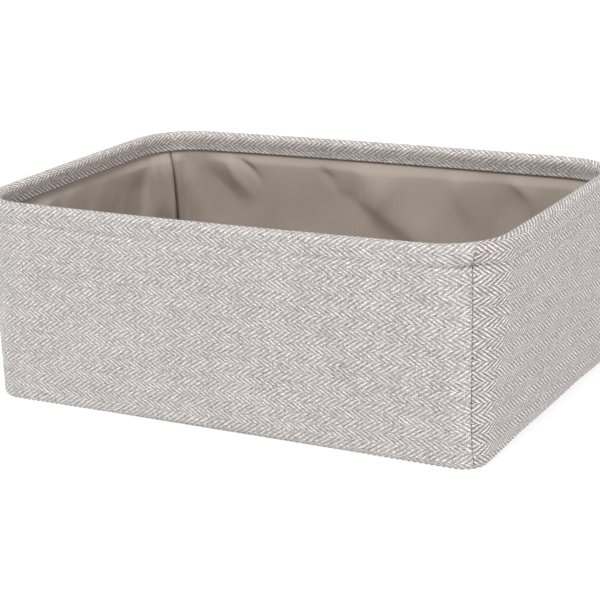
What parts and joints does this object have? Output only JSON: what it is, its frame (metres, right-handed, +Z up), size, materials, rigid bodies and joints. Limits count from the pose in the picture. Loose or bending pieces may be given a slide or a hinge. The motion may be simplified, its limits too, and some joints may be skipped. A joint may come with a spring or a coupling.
{
  "type": "fabric storage bin",
  "caption": "Open-topped rectangular fabric storage bin with rounded corners, a rolled wire rim, herringbone cloth outside, a loose plain lining and a lift-out base insert.",
  "frame": {"origin": "centre of the footprint, on the surface that the bin stands on", "axes": "+X along the long side, +Z up through the open top; the front long side faces -Y"},
  "size_m": [0.3834, 0.2558, 0.14],
  "materials": {
    "woven_cloth": "light warm-grey herringbone twill, matt",
    "lining_cloth": "plain taupe cloth, matt with a faint sheen",
    "felt": "needled felt, matt",
    "board": "grey-brown pressed paper board, matt",
    "steel_wire": "drawn steel wire",
    "outer_thread": "spun sewing thread, grey-taupe",
    "lining_thread": "spun sewing thread, pale taupe"
  },
  "bodies": {
    "bin": {"outer_front_panel": "woven_cloth", "outer_right_panel": "woven_cloth", "outer_back_panel": "woven_cloth", "outer_left_panel": "woven_cloth", "outer_base_panel": "woven_cloth", "interlining_front": "felt", "interlining_right": "felt", "interlining_back": "felt", "interlining_left": "felt", "stiffener_front": "board", "stiffener_right": "board", "stiffener_back": "board", "stiffener_left": "board", "lining_front": "lining_cloth", "lining_right": "lining_cloth", "lining_back": "lining_cloth", "lining_left": "lining_cloth", "lining_base_panel": "lining_cloth", "rim_wire": "steel_wire", "rim_wire_sleeve": "steel_wire", "outer_corner_stitching": "outer_thread", "outer_base_stitching": "outer_thread", "lining_corner_stitching": "lining_thread", "lining_base_stitching": "lining_thread", "rim_topstitch": "lining_thread"},
    "base_insert": {"insert_board": "board", "insert_cover": "lining_cloth"}
  },
  "joints": [
    {"name": "insert_lift", "type": "slide", "parent": "bin", "child": "base_insert", "axis": [0, 0, 1], "range_m": [0, 0.15]}
  ]
}
